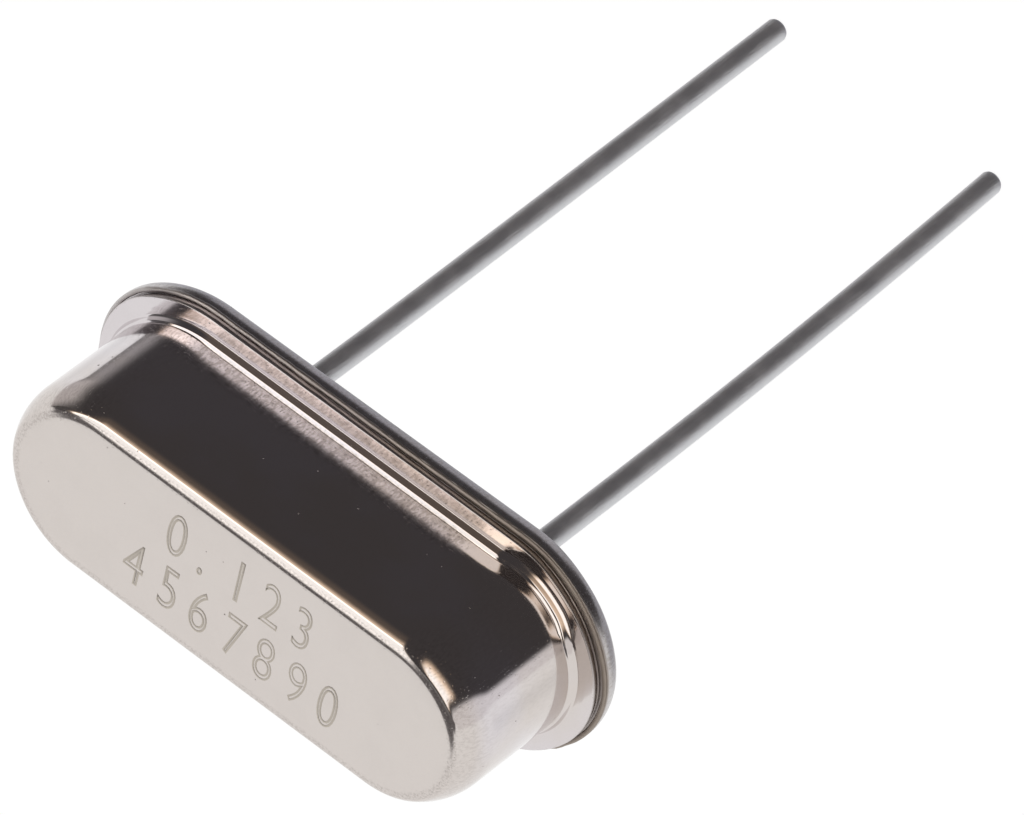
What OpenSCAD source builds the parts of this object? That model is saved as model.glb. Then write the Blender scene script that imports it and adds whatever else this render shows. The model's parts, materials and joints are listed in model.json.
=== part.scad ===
// Low-profile quartz crystal unit in a resistance-welded metal can, with two wire leads.
// Millimetres. The origin is the centre of the seating plane, which is the underside of the
// base, midway between the leads. +Z points up through the can, X runs along its long side
// through both leads, and the leads hang down to -Z.

/* [Can] */
// Outside length of the can, above the flange
can_l = 10.0; // [9.6:0.05:12]
// Outside width of the can; its ends are half circles of this diameter
can_w = 3.65; // [3.3:0.05:4.2]
// Height of the can's top above the seating plane
can_h = 3.32; // [2.9:0.01:4.5]
// Thickness of the drawn side wall
wall_t = 0.2; // [0.12:0.01:0.3]
// Thickness of the can's top
top_t = 0.22; // [0.12:0.01:0.3]
// Outside radius of the edge round the top
top_r = 0.38; // [0.3:0.01:0.6]

/* [Flanges] */
// How far the can's own flange stands out from its wall
cover_flange_out = 0.48; // [0.42:0.01:0.7]
// Thickness of the can's flange
cover_flange_t = 0.24; // [0.15:0.01:0.35]
// Radius in the corner between wall and flange, outside
root_r = 0.2; // [0.1:0.01:0.25]
// Radius of the same bend on the inside of the can
bend_r = 0.34; // [0.2:0.01:0.38]
// Rounding of the outer edges of the can's flange
cover_rim_r = 0.05; // [0.02:0.01:0.07]
// How far the base's flange stands out past the can's flange
base_lip = 0.01; // [0:0.01:0.1]
// Thickness of the base's flange
base_flange_t = 0.38; // [0.25:0.01:0.5]
// Rounding of the base's lower rim
base_rim_r = 0.15; // [0.05:0.01:0.15]
// Rounding of the base's upper rim, beside the weld
weld_rim_r = 0.06; // [0.02:0.01:0.1]

/* [Base] */
// Height of the raised platform inside the can, above the base's flange
platform_h = 0.5; // [0.3:0.05:0.7]
// Clearance between the platform and the inside of the can
platform_gap = 0.12; // [0.05:0.01:0.2]
// Rounding of the platform's upper edge
platform_r = 0.1; // [0.05:0.01:0.2]
// Diameter of each glass seal and of its bore in the base
seal_d = 1.5; // [1.2:0.05:1.7]
// How far the glass stays above the seating plane at its edge
seal_recess = 0.03; // [0.01:0.01:0.1]
// Depth of the hollow that the glass forms between lead and bore
seal_dish = 0.05; // [0.02:0.01:0.1]

/* [Leads] */
// Distance between the two leads
lead_pitch = 4.88; // [4.6:0.01:5.08]
// Diameter of a lead outside the base, with its tin
lead_d = 0.43; // [0.35:0.01:0.5]
// Thickness of the tin, which ends at the seating plane
tin_t = 0.01; // [0.005:0.005:0.02]
// Length of a lead below the seating plane
lead_len = 14.3; // [3:0.1:20]
// Bevel round a lead's cut tip
tip_bevel = 0.06; // [0.02:0.01:0.1]
// Diameter of the flattened head inside the can
head_d = 0.9; // [0.7:0.05:1]
// Thickness of that head
head_t = 0.12; // [0.08:0.01:0.2]
// Height of the head above the glass
head_gap = 0.05; // [0.03:0.01:0.1]

/* [Clips] */
// Thickness of the clip's spring strip
clip_t = 0.1; // [0.08:0.01:0.15]
// Width of the strip
clip_w = 1.2; // [1:0.05:1.5]
// Inside radius of the bend in the strip
clip_bend_r = 0.1; // [0.05:0.01:0.15]
// How far the foot runs back past the lead's centre
foot_back = 0.4; // [0.3:0.05:0.5]
// Height of the slot's floor above the foot
slot_sill = 0.12; // [0.1:0.01:0.2]
// Clearance on each face of the quartz in the slot
slot_gap = 0.03; // [0.01:0.01:0.05]
// How far the clip's tips stop below the quartz's upper edge
clip_drop = 0.3; // [0.1:0.05:0.5]

/* [Resonator] */
// Thickness of the quartz strip, which sets its frequency
blank_t = 0.415; // [0.2:0.005:0.5]
// Clearance between each end of the strip and the inside of the can
blank_end_gap = 0.8; // [0.6:0.05:1]
// Clearance between the strip and the top of the can
blank_top_gap = 0.2; // [0.15:0.01:0.4]
// Length of strip that passes through each clip
blank_overhang = 0.2; // [0.15:0.01:0.4]
// Bevel along the strip's corners at each end
blank_bevel = 0.04; // [0.02:0.01:0.06]
// Thickness of a silver film
film_t = 0.02; // [0.01:0.005:0.03]
// Length of a film's main pad
pad_l = 4.4; // [3:0.1:5]
// Bare quartz above and below the pad
pad_margin = 0.2; // [0.1:0.05:0.3]
// Height of the tab that runs from the pad to one end
tab_h = 0.6; // [0.4:0.05:0.8]
// Radius of each dot of conductive adhesive
dot_r = 0.3; // [0.25:0.01:0.35]

/* [Hidden] */
$fn = 96;
// Overrun of a cut past the face that it opens
over = 0.1;
// Signs of the two ends, of X, and of the two faces, of Y
END_1 = 1;
END_2 = -1;
FRONT = -1;
BACK = 1;

// Centre distance of the two half-circle ends, the same for every outline round the can
end_span = can_l - can_w;
can_r = can_w / 2;
cavity_r = can_r - wall_t;
cavity_l = can_l - 2 * wall_t;
cavity_top = can_h - top_t;
cover_flange_r = can_r + cover_flange_out;
base_flange_r = cover_flange_r + base_lip;
flange_top = base_flange_t + cover_flange_t;

platform_top = base_flange_t + platform_h;
wire_d = lead_d - 2 * tin_t;
head_z = platform_top + head_gap;
foot_z = head_z + head_t;
slot_z = foot_z + clip_t + slot_sill;

blank_l = cavity_l - 2 * blank_end_gap;
blank_h = cavity_top - blank_top_gap - slot_z;
blank_mid_z = slot_z + blank_h / 2;
// Inner face of a clip's upright
upright_x = blank_l / 2 - blank_overhang;
upright_top = slot_z + blank_h - clip_drop;

nickel = [0.66, 0.62, 0.605];
steel = [0.60, 0.575, 0.56];
sealing_glass = [0.03, 0.04, 0.045];
tin = [0.50, 0.505, 0.52];
spring_metal = [0.72, 0.66, 0.54];
quartz = [0.85, 0.89, 0.91, 0.5];
silver = [0.88, 0.87, 0.85];
silver_epoxy = [0.58, 0.56, 0.53];

// The area between a right-angled corner at the origin and an arc that touches both its sides.
// Taken off an outer corner it rounds it, and added in an inner corner it fills it.
module fillet(r) {
    difference() {
        square(r);
        translate([r, r]) circle(r);
    }
}

// Sweeps a section, drawn as radius and height, round the long outline of the can.
module round_the_can() {
    rotate([90, 0, 90]) linear_extrude(end_span, center = true) {
        children();
        mirror([1, 0]) children();
    }
    translate([end_span / 2, 0]) rotate_extrude(angle = 180, start = -90) children();
    translate([-end_span / 2, 0]) rotate_extrude(angle = 180, start = 90) children();
}

// Section of the cover as if it were solid
module cover_outline() {
    difference() {
        union() {
            translate([0, base_flange_t]) square([can_r, can_h - base_flange_t]);
            translate([0, base_flange_t]) square([cover_flange_r, cover_flange_t]);
            translate([can_r, flange_top]) fillet(root_r);
        }
        translate([can_r, can_h]) rotate(180) fillet(top_r);
        translate([cover_flange_r, flange_top]) rotate(180) fillet(cover_rim_r);
        translate([cover_flange_r, base_flange_t]) rotate(90) fillet(cover_rim_r);
    }
}

// Section of the hollow that the cover is drawn round, with the bend that leads to its flange
module cavity_outline() {
    difference() {
        translate([0, base_flange_t - over]) square([cavity_r, cavity_top - base_flange_t + over]);
        translate([cavity_r, cavity_top]) rotate(180) fillet(max(top_r - wall_t, wall_t / 2));
    }
    translate([cavity_r, base_flange_t]) fillet(bend_r);
}

// The drawn can: one sheet, with its top, its wall and its welding flange
module cover() {
    color(nickel) difference() {
        round_the_can() cover_outline();
        round_the_can() cavity_outline();
    }
}

// Section of the base: a flange with rounded rims, and the platform inside the can
module base_outline() {
    platform_edge = cavity_r - platform_gap;
    difference() {
        square([base_flange_r, base_flange_t]);
        translate([base_flange_r, 0]) rotate(90) fillet(base_rim_r);
        translate([base_flange_r, base_flange_t]) rotate(180) fillet(weld_rim_r);
    }
    difference() {
        square([platform_edge, platform_top]);
        translate([platform_edge, platform_top]) rotate(180) fillet(platform_r);
    }
}

// The base, with a bore for each glass seal
module base() {
    color(steel) difference() {
        round_the_can() base_outline();
        for (end = [END_1, END_2])
            translate([end * lead_pitch / 2, 0, -over])
                cylinder(d = seal_d, h = platform_top + 2 * over);
    }
}

// One ring of glass that holds a lead in the base and keeps it apart from the metal. Its
// underside is a shallow trough between the lead and the bore.
module glass_seal(end) {
    ring_w = (seal_d - wire_d) / 2;
    trough_r = (pow(ring_w / 2, 2) + pow(seal_dish, 2)) / (2 * seal_dish);
    color(sealing_glass) translate([end * lead_pitch / 2, 0]) rotate_extrude()
        difference() {
            translate([wire_d / 2, seal_recess]) square([ring_w, platform_top - seal_recess]);
            translate([wire_d / 2 + ring_w / 2, seal_recess + seal_dish - trough_r])
                circle(trough_r);
        }
}

// One lead: tinned wire below the base, bare wire through the glass, and a flattened head
module lead(end) {
    color(tin) translate([end * lead_pitch / 2, 0]) {
        translate([0, 0, -lead_len]) cylinder(d1 = lead_d - 2 * tip_bevel, d2 = lead_d, h = tip_bevel);
        translate([0, 0, tip_bevel - lead_len]) cylinder(d = lead_d, h = lead_len - tip_bevel);
        cylinder(d = wire_d, h = head_z);
        translate([0, 0, head_z]) cylinder(d = head_d, h = head_t);
    }
}

// One clip: a strip welded to a lead's head, bent up and slotted for the end of the quartz
module clip(end) {
    heel_x = upright_x + clip_t;
    toe_x = lead_pitch / 2 - foot_back;
    color(spring_metal) rotate(end == END_1 ? 0 : 180) difference() {
        rotate([90, 0, 0]) linear_extrude(clip_w, center = true) difference() {
            union() {
                translate([toe_x, foot_z]) square([heel_x - toe_x, clip_t]);
                translate([upright_x, foot_z]) square([clip_t, upright_top - foot_z]);
                translate([upright_x, foot_z + clip_t]) rotate(90) fillet(clip_bend_r);
            }
            translate([heel_x, foot_z]) rotate(90) fillet(clip_bend_r + clip_t);
        }
        slot_w = blank_t + 2 * slot_gap;
        translate([upright_x - over, -slot_w / 2, slot_z])
            cube([clip_t + 2 * over, slot_w, upright_top - slot_z + over]);
    }
}

// The resonator: a strip of quartz on its edge, with its corners bevelled at each end
module quartz_blank() {
    color(quartz) translate([0, 0, slot_z]) linear_extrude(blank_h) difference() {
        square([blank_l, blank_t], center = true);
        for (x = [-1, 1], y = [-1, 1])
            translate([x * blank_l / 2, y * blank_t / 2]) rotate(45)
                square(blank_bevel * sqrt(2), center = true);
    }
}

// One silver film: the pad in the middle of a face, and the tab that runs to its own clip
module electrode(face) {
    tab_end = blank_l / 2 - blank_bevel;
    pad_h = blank_h - 2 * pad_margin;
    color(silver) rotate(face == FRONT ? 0 : 180)
        translate([0, -blank_t / 2, blank_mid_z]) rotate([90, 0, 0]) linear_extrude(film_t) {
            square([pad_l, pad_h], center = true);
            translate([0, -tab_h / 2]) square([tab_end, tab_h]);
        }
}

// One dot of conductive adhesive in the corner between the quartz and a clip's upright. A film
// lies under it where that face's tab comes to this end.
module adhesive(end, face) {
    has_tab = (end == END_1) == (face == FRONT);
    stand_off = blank_t / 2 + (has_tab ? film_t : 0);
    reach = dot_r + over;
    color(silver_epoxy) rotate(end == END_1 ? 0 : 180)
        translate([upright_x, end * face * stand_off, blank_mid_z]) intersection() {
            sphere(dot_r);
            translate([-reach, end * face > 0 ? 0 : -reach, -reach]) cube([reach, reach, 2 * reach]);
        }
}

cover();
base();
glass_seal(END_1);  // glass_seal_1
glass_seal(END_2);  // glass_seal_2
lead(END_1);  // lead_1
lead(END_2);  // lead_2
clip(END_1);  // clip_1
clip(END_2);  // clip_2
quartz_blank();
electrode(FRONT);  // electrode_front
electrode(BACK);  // electrode_back
adhesive(END_1, FRONT);  // adhesive_1_front
adhesive(END_1, BACK);  // adhesive_1_back
adhesive(END_2, FRONT);  // adhesive_2_front
adhesive(END_2, BACK);  // adhesive_2_back
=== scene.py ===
"""Quartz crystal unit in a low oval metal can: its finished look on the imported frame."""
import json
import logging
import math
from collections.abc import Callable
from dataclasses import dataclass
from enum import Enum
from typing import NamedTuple

import bmesh
import bpy
from bmesh.types import BMesh, BMEdge, BMVert
from mathutils import Matrix, Vector, noise

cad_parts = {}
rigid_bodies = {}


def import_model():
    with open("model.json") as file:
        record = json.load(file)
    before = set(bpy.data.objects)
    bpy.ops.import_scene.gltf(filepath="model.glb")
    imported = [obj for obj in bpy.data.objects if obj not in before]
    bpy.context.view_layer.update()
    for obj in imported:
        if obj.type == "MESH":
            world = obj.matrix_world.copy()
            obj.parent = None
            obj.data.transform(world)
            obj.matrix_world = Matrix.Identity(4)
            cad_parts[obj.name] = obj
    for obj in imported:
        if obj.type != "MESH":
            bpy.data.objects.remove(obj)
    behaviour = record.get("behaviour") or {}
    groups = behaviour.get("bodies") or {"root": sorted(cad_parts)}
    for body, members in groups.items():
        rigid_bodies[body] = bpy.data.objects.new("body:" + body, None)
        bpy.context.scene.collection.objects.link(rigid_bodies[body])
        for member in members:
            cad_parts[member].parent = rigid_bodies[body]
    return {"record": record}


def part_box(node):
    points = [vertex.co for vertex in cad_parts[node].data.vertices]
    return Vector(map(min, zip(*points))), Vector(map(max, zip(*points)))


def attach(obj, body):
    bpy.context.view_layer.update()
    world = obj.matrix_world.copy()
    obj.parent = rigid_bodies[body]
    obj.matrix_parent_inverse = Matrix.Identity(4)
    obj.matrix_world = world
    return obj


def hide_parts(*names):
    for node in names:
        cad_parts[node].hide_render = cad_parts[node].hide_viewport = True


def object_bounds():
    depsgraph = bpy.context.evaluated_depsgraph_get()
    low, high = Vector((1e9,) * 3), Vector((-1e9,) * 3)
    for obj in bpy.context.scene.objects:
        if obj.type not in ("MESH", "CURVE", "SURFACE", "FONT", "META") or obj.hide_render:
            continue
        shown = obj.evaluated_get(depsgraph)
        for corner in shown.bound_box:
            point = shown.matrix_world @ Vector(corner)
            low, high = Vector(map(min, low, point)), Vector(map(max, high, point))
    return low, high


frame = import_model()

MM = 0.001
PER_MM = (1000.0, 1000.0, 1000.0)
WELD = 3e-7
CAD_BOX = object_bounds()
WHITE = (1.0, 1.0, 1.0, 1.0)

log = logging.getLogger("crystal_unit")

Material = bpy.types.Material
Object = bpy.types.Object
Socket = bpy.types.NodeSocket
Value = float | Socket
Pair = tuple[float, float]
Triple = tuple[float, float, float]
Colour = tuple[float, float, float, float]


class End(Enum):
    """The two ends of the can, by the sign of X."""

    ONE = 1
    TWO = -1


# ---------------------------------------------------------------- nodes


class Wiring:
    """Adds and joins the nodes of one tree."""

    def __init__(self, tree: bpy.types.NodeTree) -> None:
        """Empties the tree that is to be filled."""
        self.tree = tree
        tree.nodes.clear()

    def node(self, kind: str, inputs: dict | None = None, **settings: object) -> bpy.types.Node:
        """Adds one node.

        Args:
            kind: the node's type name.
            inputs: what its inputs get, by name or by place.
            settings: attributes to set on it.

        Returns:
            The new node.
        """
        made = self.tree.nodes.new(kind)
        for name, value in settings.items():
            setattr(made, name, value)
        for place, value in (inputs or {}).items():
            self.join(value, made.inputs[place])
        return made

    def join(self, value: object, socket: Socket) -> None:
        """Links a socket to another one, or sets it to a constant.

        Args:
            value: the source socket or a constant.
            socket: the input to feed.
        """
        if isinstance(value, Socket):
            self.tree.links.new(value, socket)
        else:
            socket.default_value = value

    def math(self, operation: str, *values: Value, clamp: bool = False) -> Socket:
        """Adds Math nodes that take their values in, one after the other.

        Args:
            operation: the nodes' operation.
            values: one value, or two and more.
            clamp: whether each result stays between 0 and 1.

        Returns:
            The last result.
        """
        total, *others = values
        for other in others or [0.0]:
            inputs = {0: total, 1: other}
            total = self.node("ShaderNodeMath", inputs, operation=operation, use_clamp=clamp).outputs[0]
        return total

    def times(self, *values: Value) -> Socket:
        """Multiplies values."""
        return self.math("MULTIPLY", *values)

    def plus(self, *values: Value) -> Socket:
        """Adds values."""
        return self.math("ADD", *values)

    def ramp(self, value: Value, low: Value, high: Value, start: Value = 0.0, end: Value = 1.0) -> Socket:
        """Adds a smooth step from start to end, as a value goes from low to high."""
        inputs = {"Value": value, "From Min": low, "From Max": high, "To Min": start, "To Max": end}
        return self.node("ShaderNodeMapRange", inputs, interpolation_type="SMOOTHSTEP").outputs["Result"]

    def blend(self, share: Value, first: object, second: object) -> Socket:
        """Mixes two colours by the share of the second."""
        return self.node("ShaderNodeMix", {0: share, 6: first, 7: second}, data_type="RGBA").outputs[2]

    def place(self, scale: Triple = PER_MM) -> Socket:
        """Adds Object coordinates, stretched on each axis by a scale per metre."""
        inputs = {"Vector": self.node("ShaderNodeTexCoord").outputs["Object"], "Scale": scale}
        return self.node("ShaderNodeMapping", inputs).outputs["Vector"]

    def axes(self, vector: Socket) -> list[Socket]:
        """Takes a vector apart into X, Y and Z."""
        return list(self.node("ShaderNodeSeparateXYZ", {0: vector}).outputs)

    def cloud(self, vector: Socket, scale: Value, detail: float = 2.0, roughness: float = 0.5) -> Socket:
        """Adds noise of about 0 to 1, with its number of octaves and the strength of the finer ones."""
        inputs = {"Vector": vector, "Scale": scale, "Detail": detail, "Roughness": roughness}
        return self.node("ShaderNodeTexNoise", inputs).outputs["Fac"]

    def seen(self) -> Socket:
        """Says where a ray comes straight from the camera, or through glass."""
        rays = self.node("ShaderNodeLightPath").outputs
        return self.math("MAXIMUM", rays["Is Camera Ray"], rays["Is Transmission Ray"])

    def output(self, kind: str, surface: Socket) -> None:
        """Adds the tree's output, which shows a surface."""
        self.node(kind, {"Surface": surface})


class Effect:
    """A node group that several finishes share."""

    def __init__(self, name: str, output: str, **inputs: float) -> None:
        """Makes an empty group with its sockets.

        Args:
            name: the group's name.
            output: the name of what it puts out.
            inputs: each input's name and default.
        """
        self.tree = bpy.data.node_groups.new(name, "ShaderNodeTree")
        face = self.tree.interface
        face.new_socket(name="Vector", in_out="INPUT", socket_type="NodeSocketVector")
        for label, default in inputs.items():
            face.new_socket(name=label, in_out="INPUT", socket_type="NodeSocketFloat").default_value = default
        face.new_socket(name=output, in_out="OUTPUT", socket_type="NodeSocketFloat")
        self.wires = Wiring(self.tree)
        self.given = self.wires.node("NodeGroupInput").outputs
        self.result = self.wires.node("NodeGroupOutput").inputs[0]

    def use(self, wires: Wiring, vector: Socket, **values: Value) -> Socket:
        """Places the group in a material: where it is read, and its other inputs."""
        return wires.node("ShaderNodeGroup", {"Vector": vector, **values}, node_tree=self.tree).outputs[0]


class Effects:
    """The shared effects: orange peel, specks, scratches and mottling."""

    def __init__(self) -> None:
        """Builds each group once."""
        self.peel = Effect("orange_peel", "Height", Coarse=1.0, Fine=1.0)
        w, g = self.peel.wires, self.peel.given
        coarse = w.times(w.cloud(g["Vector"], 3.2, 1.0), g["Coarse"])
        fine = w.times(w.cloud(g["Vector"], 23.0, 3.0, 0.62), g["Fine"])
        w.join(w.plus(coarse, fine), self.peel.result)

        self.specks = Effect("specks", "Mask", Scale=10.0, Size=0.1, Share=0.3)
        w, g = self.specks.wires, self.specks.given
        cells = w.node("ShaderNodeTexVoronoi", {"Vector": g["Vector"], "Scale": g["Scale"]}, feature="F1")
        split = w.node("ShaderNodeSeparateColor", {0: cells.outputs["Color"]})
        chosen = w.math("LESS_THAN", split.outputs[0], g["Share"])
        size = w.times(g["Size"], w.ramp(split.outputs[1], 0.0, 1.0, 0.35, 1.0))
        dot = w.ramp(cells.outputs["Distance"], w.times(size, 0.5), size, 1.0, 0.0)
        w.join(w.times(chosen, dot), self.specks.result)

        self.scratch = Effect("scratches", "Mask", Scale=10.0, Share=0.3)
        w, g = self.scratch.wires, self.scratch.given
        full = 0.8
        lines = w.cloud(g["Vector"], g["Scale"], 4.0, 0.7)
        w.join(w.ramp(lines, w.math("SUBTRACT", full, g["Share"]), full), self.scratch.result)

        self.mottle = Effect("mottle", "Mask", Scale=1.0, Low=0.35, High=0.65)
        w, g = self.mottle.wires, self.mottle.given
        w.join(w.ramp(w.cloud(g["Vector"], g["Scale"], 3.0, 0.6), g["Low"], g["High"]), self.mottle.result)


class Finish:
    """One material: a Principled shader and its wiring."""

    def __init__(self, name: str, fixed: dict[str, float]) -> None:
        """Makes the material.

        Args:
            name: the material's name.
            fixed: shader inputs that are the same all over.
        """
        self.material = bpy.data.materials.new(name)
        self.material.use_nodes = True
        self.wires = Wiring(self.material.node_tree)
        self.shader = self.wires.node("ShaderNodeBsdfPrincipled", fixed)
        self.wires.output("ShaderNodeOutputMaterial", self.shader.outputs[0])
        self.bump: Socket | None = None

    def feed(self, label: str, value: Socket) -> None:
        """Links one shader input."""
        self.wires.join(value, self.shader.inputs[label])

    def raise_by(self, height: Socket, distance: float) -> None:
        """Adds a bump on top of the ones before.

        Args:
            height: the height field.
            distance: its depth in metres at full height.
        """
        inputs = {"Strength": 1.0, "Distance": distance, "Height": height}
        if self.bump is not None:
            inputs["Normal"] = self.bump
        self.bump = self.wires.node("ShaderNodeBump", inputs).outputs["Normal"]
        self.feed("Normal", self.bump)

    def mask(self, name: str) -> Socket:
        """Reads a mesh attribute as a mask."""
        return self.wires.node("ShaderNodeAttribute", attribute_name=name).outputs["Fac"]


@dataclass(frozen=True)
class Nickel:
    """Nickel plate on drawn or stamped metal, read with the masks drawn and seam.

    Attributes:
        name: the material's name.
        colour: the plate's colour.
        film: its colour under a faint bluish film, which lies on it in patches.
        tarnish: its colour in the seam, the pits and the worn places.
        roughness, drawn_roughness: those of the polished and of the stretched places.
        peel: depth of the orange peel.
        pit: depth of the pits.
        film_top: heights in millimetres at which the film has ended, and starts to end.
    """

    name: str
    colour: Colour
    film: Colour
    tarnish: Colour
    roughness: float
    drawn_roughness: float
    peel: float
    pit: float = 0.004 * MM
    film_top: Pair = (3.1, 2.7)

    def make(self, effects: Effects) -> Material:
        """Builds the material.

        Args:
            effects: the shared node groups.

        Returns:
            The material.
        """
        finish = Finish(self.name, {"Metallic": 1.0})
        w, near = finish.wires, finish.wires.place()
        drawn, seam = finish.mask("drawn"), finish.mask("seam")
        patches = effects.mottle.use(w, near, Scale=1.3, Low=0.38, High=0.68)
        grain = effects.mottle.use(w, w.place((1000.0, 1000.0, 380.0)), Scale=24.0, Low=0.36, High=0.62)
        pits = effects.specks.use(w, near, Scale=3.4, Size=0.08, Share=0.4)
        grit = w.times(effects.specks.use(w, near, Scale=24.0, Size=0.42, Share=0.36), drawn)
        film = effects.mottle.use(w, near, Scale=0.33, Low=0.38, High=0.6)
        film = w.times(film, w.ramp(w.axes(near)[2], *self.film_top))
        between = w.times(drawn, w.math("SUBTRACT", 1.0, drawn), 1.9)
        ragged = w.times(w.math("SUBTRACT", grain, 0.5), between)
        stretched = w.math("POWER", w.math("ADD", drawn, ragged, clamp=True), 2.0)
        dull = w.times(patches, w.plus(0.02, w.times(drawn, 0.05)))
        worn = w.times(stretched, w.plus(0.17, w.times(grain, 0.4)))
        stain = w.math("ADD", dull, w.plus(worn, w.times(grain, 0.02)), clamp=True)
        stain = w.math("MAXIMUM", stain, seam, w.times(pits, 0.65))
        finish.feed("Base Color", w.blend(stain, w.blend(film, self.colour, self.film), self.tarnish))
        rough = w.ramp(drawn, 0.0, 1.0, self.roughness, self.drawn_roughness)
        rough = w.plus(rough, w.times(patches, 0.02))
        dirt = w.times(w.math("MAXIMUM", pits, seam), 0.4)
        finish.feed("Roughness", w.math("ADD", rough, dirt, clamp=True))
        fine = w.times(w.plus(0.2, w.times(stretched, 1.9)), 0.15)
        finish.raise_by(effects.peel.use(w, near, Coarse=1.0, Fine=fine), self.peel)
        finish.raise_by(w.math("MAXIMUM", pits, w.times(grit, 0.7)), -self.pit)
        return finish.material


@dataclass(frozen=True)
class Tin:
    """Dull tin on a drawn wire, scratched along its length.

    Attributes:
        name: the material's name.
        colour: the tin's colour.
        worn: the colour of the bright scratches.
        roughness: the tin's roughness.
        peel, groove, nick: depths of its unevenness, its scratches and its nicks.
    """

    name: str
    colour: Colour
    worn: Colour
    roughness: float
    peel: float = 0.010 * MM
    groove: float = 0.004 * MM
    nick: float = 0.008 * MM

    def make(self, effects: Effects) -> Material:
        """Builds the material.

        Args:
            effects: the shared node groups.

        Returns:
            The material.
        """
        finish = Finish(self.name, {"Metallic": 1.0})
        w, near = finish.wires, finish.wires.place()
        lines = effects.scratch.use(w, w.place((1000.0, 1000.0, 60.0)), Scale=16.0, Share=0.3)
        patches = effects.mottle.use(w, near, Scale=2.2, Low=0.35, High=0.7)
        nicks = effects.specks.use(w, near, Scale=4.2, Size=0.16, Share=0.16)
        shade = w.math("ADD", w.times(lines, 0.5), w.times(patches, 0.35), clamp=True)
        finish.feed("Base Color", w.blend(shade, self.colour, self.worn))
        rough = w.plus(self.roughness, w.times(patches, 0.08))
        finish.feed("Roughness", w.math("SUBTRACT", rough, w.times(nicks, 0.1)))
        finish.raise_by(effects.peel.use(w, near, Coarse=0.5, Fine=0.5), self.peel)
        finish.raise_by(lines, -self.groove)
        finish.raise_by(nicks, self.nick)
        return finish.material


@dataclass(frozen=True)
class Glass:
    """Dark fused sealing glass with small bubbles.

    Attributes:
        name: the material's name.
        colour: its colour.
        bubble: the colour of its bubbles.
        swell: how far a bubble stands up.
    """

    name: str
    colour: Colour
    bubble: Colour
    swell: float = 0.006 * MM

    def make(self, effects: Effects) -> Material:
        """Builds the material.

        Args:
            effects: the shared node groups.

        Returns:
            The material.
        """
        finish = Finish(self.name, {"Metallic": 0.0, "IOR": 1.52, "Coat Weight": 0.4, "Coat Roughness": 0.05})
        w, near = finish.wires, finish.wires.place()
        bubbles = effects.specks.use(w, near, Scale=7.0, Size=0.25, Share=0.3)
        clouds = effects.mottle.use(w, near, Scale=2.5, Low=0.3, High=0.8)
        pale = w.math("MAXIMUM", bubbles, w.times(clouds, 0.4))
        finish.feed("Base Color", w.blend(pale, self.colour, self.bubble))
        finish.feed("Roughness", w.ramp(clouds, 0.0, 1.0, 0.08, 0.2))
        finish.raise_by(bubbles, self.swell)
        return finish.material


@dataclass(frozen=True)
class Inside:
    """A finish of the pieces inside the can.

    Attributes:
        name: the material's name and the record's slot.
        colour: its main colour.
        other: the colour of its patches and grain.
        fixed: constant shader inputs.
        roughness: lowest and highest roughness.
        scale: the grain's scale.
        depth: the grain's depth in metres.
        stretch: the grain's scale on each axis, per metre.
    """

    name: str
    colour: Colour
    other: Colour
    fixed: dict[str, float]
    roughness: Pair
    scale: float
    depth: float
    stretch: Triple = PER_MM

    def make(self, effects: Effects) -> Material:
        """Builds the material.

        Args:
            effects: the shared node groups.

        Returns:
            The material.
        """
        finish = Finish(self.name, self.fixed)
        w = finish.wires
        grain = effects.mottle.use(w, w.place(self.stretch), Scale=self.scale, Low=0.3, High=0.7)
        patches = effects.mottle.use(w, w.place(), Scale=1.7, Low=0.35, High=0.7)
        mixed = w.plus(w.times(grain, 0.6), w.times(patches, 0.4))
        finish.feed("Base Color", w.blend(mixed, self.colour, self.other))
        finish.feed("Roughness", w.ramp(mixed, 0.0, 1.0, *self.roughness))
        finish.raise_by(grain, self.depth)
        return finish.material


# ---------------------------------------------------------------- meshes


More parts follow.
